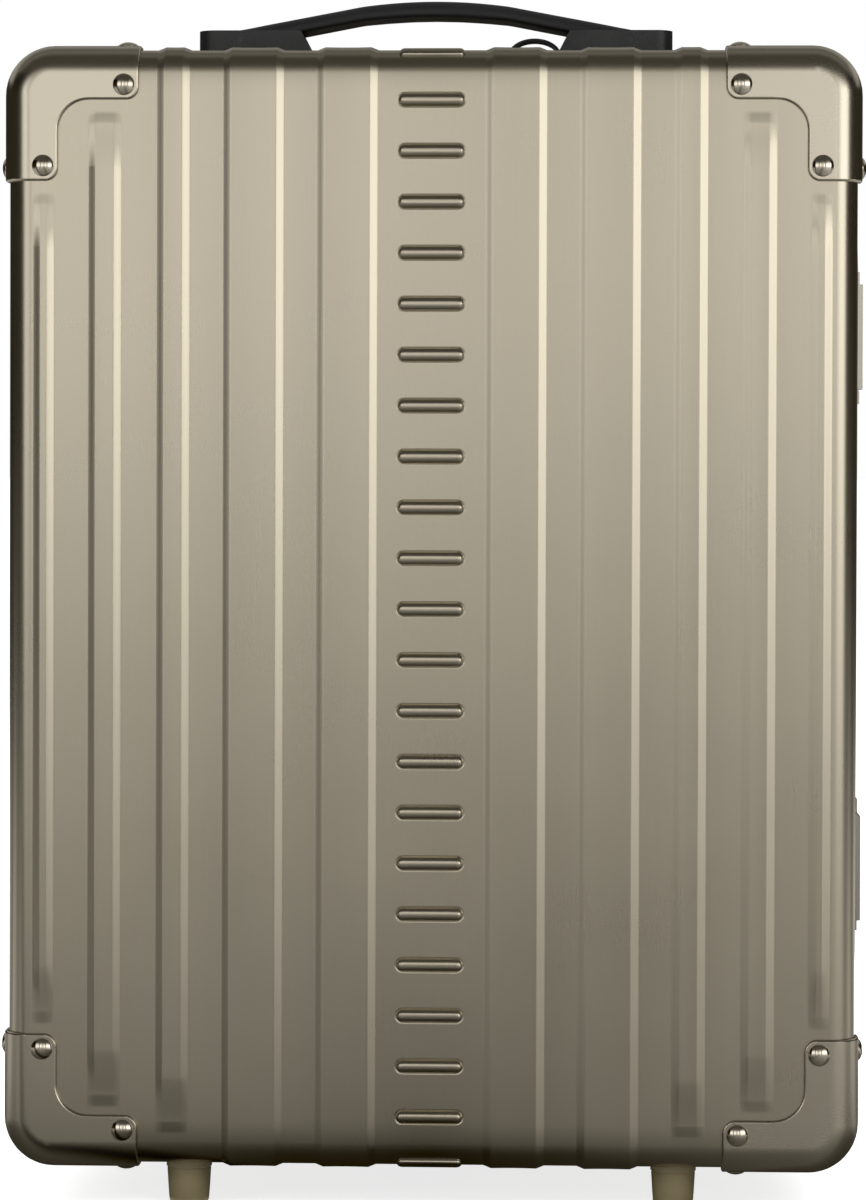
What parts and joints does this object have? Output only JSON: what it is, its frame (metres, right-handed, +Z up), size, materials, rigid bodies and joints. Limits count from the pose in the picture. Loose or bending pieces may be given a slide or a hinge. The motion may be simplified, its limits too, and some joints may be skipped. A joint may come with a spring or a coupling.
{
  "type": "hard shell suitcase on wheels",
  "caption": "Ribbed aluminium two-shell suitcase with corner guards, arched carry handle, pull handle, dial latches, side hinges, rear wheels and front feet.",
  "frame": {"origin": "on the floor under the middle of the case, in the parting plane of the two shells", "axes": "+Z up, +Y to the back, +X to the right as the case is looked at from the front"},
  "size_m": [0.357, 0.207, 0.4907],
  "materials": {
    "shell": "champagne bronze anodised sheet, satin",
    "frame": "anodised extrusion, satin",
    "guard": "champagne bronze anodised pressing, satin",
    "rivet": "polished domes",
    "hardware": "brushed zinc and steel",
    "screw": "zinc plated",
    "black_plastic": "fine grained black",
    "dial": "black with white numbers",
    "rubber": "satin black",
    "foot": "tan bronze, matt",
    "tyre": "dark polyurethane",
    "tube": "clear anodised, satin",
    "lining": "dark woven lining",
    "mesh": "black mesh with bound edge",
    "webbing": "black woven webbing"
  },
  "bodies": {
    "rear_half": {"rear_shell": "shell", "rear_frame": "frame", "rear_corner_guards": "guard", "rear_guard_rivets": "rivet", "rear_frame_rivets": "rivet", "hinge_rear_leaves": "hardware", "hinge_pins": "hardware", "latch_bodies": "hardware", "dial_axles": "hardware", "wheel_housings": "black_plastic", "wheel_axles": "hardware", "rear_screws": "screw", "trolley_bezel": "black_plastic", "trolley_outer_tubes": "tube", "trolley_foot_bracket": "black_plastic", "trolley_cover": "black_plastic", "rear_lining": "lining", "packing_straps": "webbing", "buckle_socket": "black_plastic", "buckle_plug": "black_plastic"},
    "front_half": {"front_shell": "shell", "front_frame": "frame", "frame_seal": "rubber", "front_corner_guards": "guard", "front_guard_rivets": "rivet", "front_frame_rivets": "rivet", "hinge_front_leaves": "hardware", "latch_strikes": "hardware", "handle_blocks": "black_plastic", "handle_pins": "hardware", "front_screws": "screw", "front_feet": "foot", "tag_loop": "webbing", "tag_loop_rivet": "black_plastic", "front_lining": "lining", "mesh_pocket": "mesh"},
    "carry_handle": {"carry_handle": "rubber"},
    "wheel_left": {"hub_left": "black_plastic", "tyre_left": "tyre", "bearings_left": "hardware"},
    "wheel_right": {"hub_right": "black_plastic", "tyre_right": "tyre", "bearings_right": "hardware"},
    "trolley_middle": {"trolley_middle_tubes": "tube", "trolley_middle_collars": "black_plastic"},
    "trolley_top": {"trolley_inner_tubes": "tube", "trolley_grip": "black_plastic", "trolley_button_springs": "hardware"},
    "trolley_button": {"trolley_button": "black_plastic", "trolley_push_rods": "hardware"},
    "latch_lever_upper": {"latch_lever_upper": "hardware"},
    "latch_lever_lower": {"latch_lever_lower": "hardware"},
    "dial_upper_1": {"dial_upper_1": "dial"},
    "dial_upper_2": {"dial_upper_2": "dial"},
    "dial_upper_3": {"dial_upper_3": "dial"},
    "dial_lower_1": {"dial_lower_1": "dial"},
    "dial_lower_2": {"dial_lower_2": "dial"},
    "dial_lower_3": {"dial_lower_3": "dial"}
  },
  "joints": [
    {"name": "case_hinge", "type": "hinge", "parent": "rear_half", "child": "front_half", "pos_m": [-0.1757, 0, 0.2435], "axis": [0, 0, -1], "range_deg": [0, 180]},
    {"name": "carry_handle_lift", "type": "slide", "parent": "front_half", "child": "carry_handle", "axis": [0, 0, 1], "range_m": [0, 0.0025]},
    {"name": "wheel_left_spin", "type": "hinge", "parent": "rear_half", "child": "wheel_left", "pos_m": [-0.137, 0.078, 0.025], "axis": [1, 0, 0], "continuous": true},
    {"name": "wheel_right_spin", "type": "hinge", "parent": "rear_half", "child": "wheel_right", "pos_m": [0.137, 0.078, 0.025], "axis": [1, 0, 0], "continuous": true},
    {"name": "trolley_lower_stage", "type": "slide", "parent": "rear_half", "child": "trolley_middle", "axis": [0, 0, 1], "range_m": [0, 0.29]},
    {"name": "trolley_upper_stage", "type": "slide", "parent": "trolley_middle", "child": "trolley_top", "axis": [0, 0, 1], "range_m": [0, 0.29]},
    {"name": "trolley_button_press", "type": "slide", "parent": "trolley_top", "child": "trolley_button", "axis": [0, 0, -1], "range_m": [0, 0.0035], "stiffness_N_per_m": 400, "springref_m": -0.004, "deforming": ["trolley_button_springs"]},
    {"name": "latch_upper_flip", "type": "hinge", "parent": "rear_half", "child": "latch_lever_upper", "pos_m": [0.1764, 0.0155, 0.3555], "axis": [0, 0, 1], "range_deg": [0, 100]},
    {"name": "latch_lower_flip", "type": "hinge", "parent": "rear_half", "child": "latch_lever_lower", "pos_m": [0.1764, 0.0155, 0.1315], "axis": [0, 0, 1], "range_deg": [0, 100]},
    {"name": "dial_upper_1_turn", "type": "hinge", "parent": "rear_half", "child": "dial_upper_1", "pos_m": [0.1743, 0.0246, 0.3497], "axis": [0, 0, 1], "continuous": true},
    {"name": "dial_upper_2_turn", "type": "hinge", "parent": "rear_half", "child": "dial_upper_2", "pos_m": [0.1743, 0.0246, 0.3555], "axis": [0, 0, 1], "continuous": true},
    {"name": "dial_upper_3_turn", "type": "hinge", "parent": "rear_half", "child": "dial_upper_3", "pos_m": [0.1743, 0.0246, 0.3613], "axis": [0, 0, 1], "continuous": true},
    {"name": "dial_lower_1_turn", "type": "hinge", "parent": "rear_half", "child": "dial_lower_1", "pos_m": [0.1743, 0.0246, 0.1257], "axis": [0, 0, 1], "continuous": true},
    {"name": "dial_lower_2_turn", "type": "hinge", "parent": "rear_half", "child": "dial_lower_2", "pos_m": [0.1743, 0.0246, 0.1315], "axis": [0, 0, 1], "continuous": true},
    {"name": "dial_lower_3_turn", "type": "hinge", "parent": "rear_half", "child": "dial_lower_3", "pos_m": [0.1743, 0.0246, 0.1373], "axis": [0, 0, 1], "continuous": true}
  ]
}
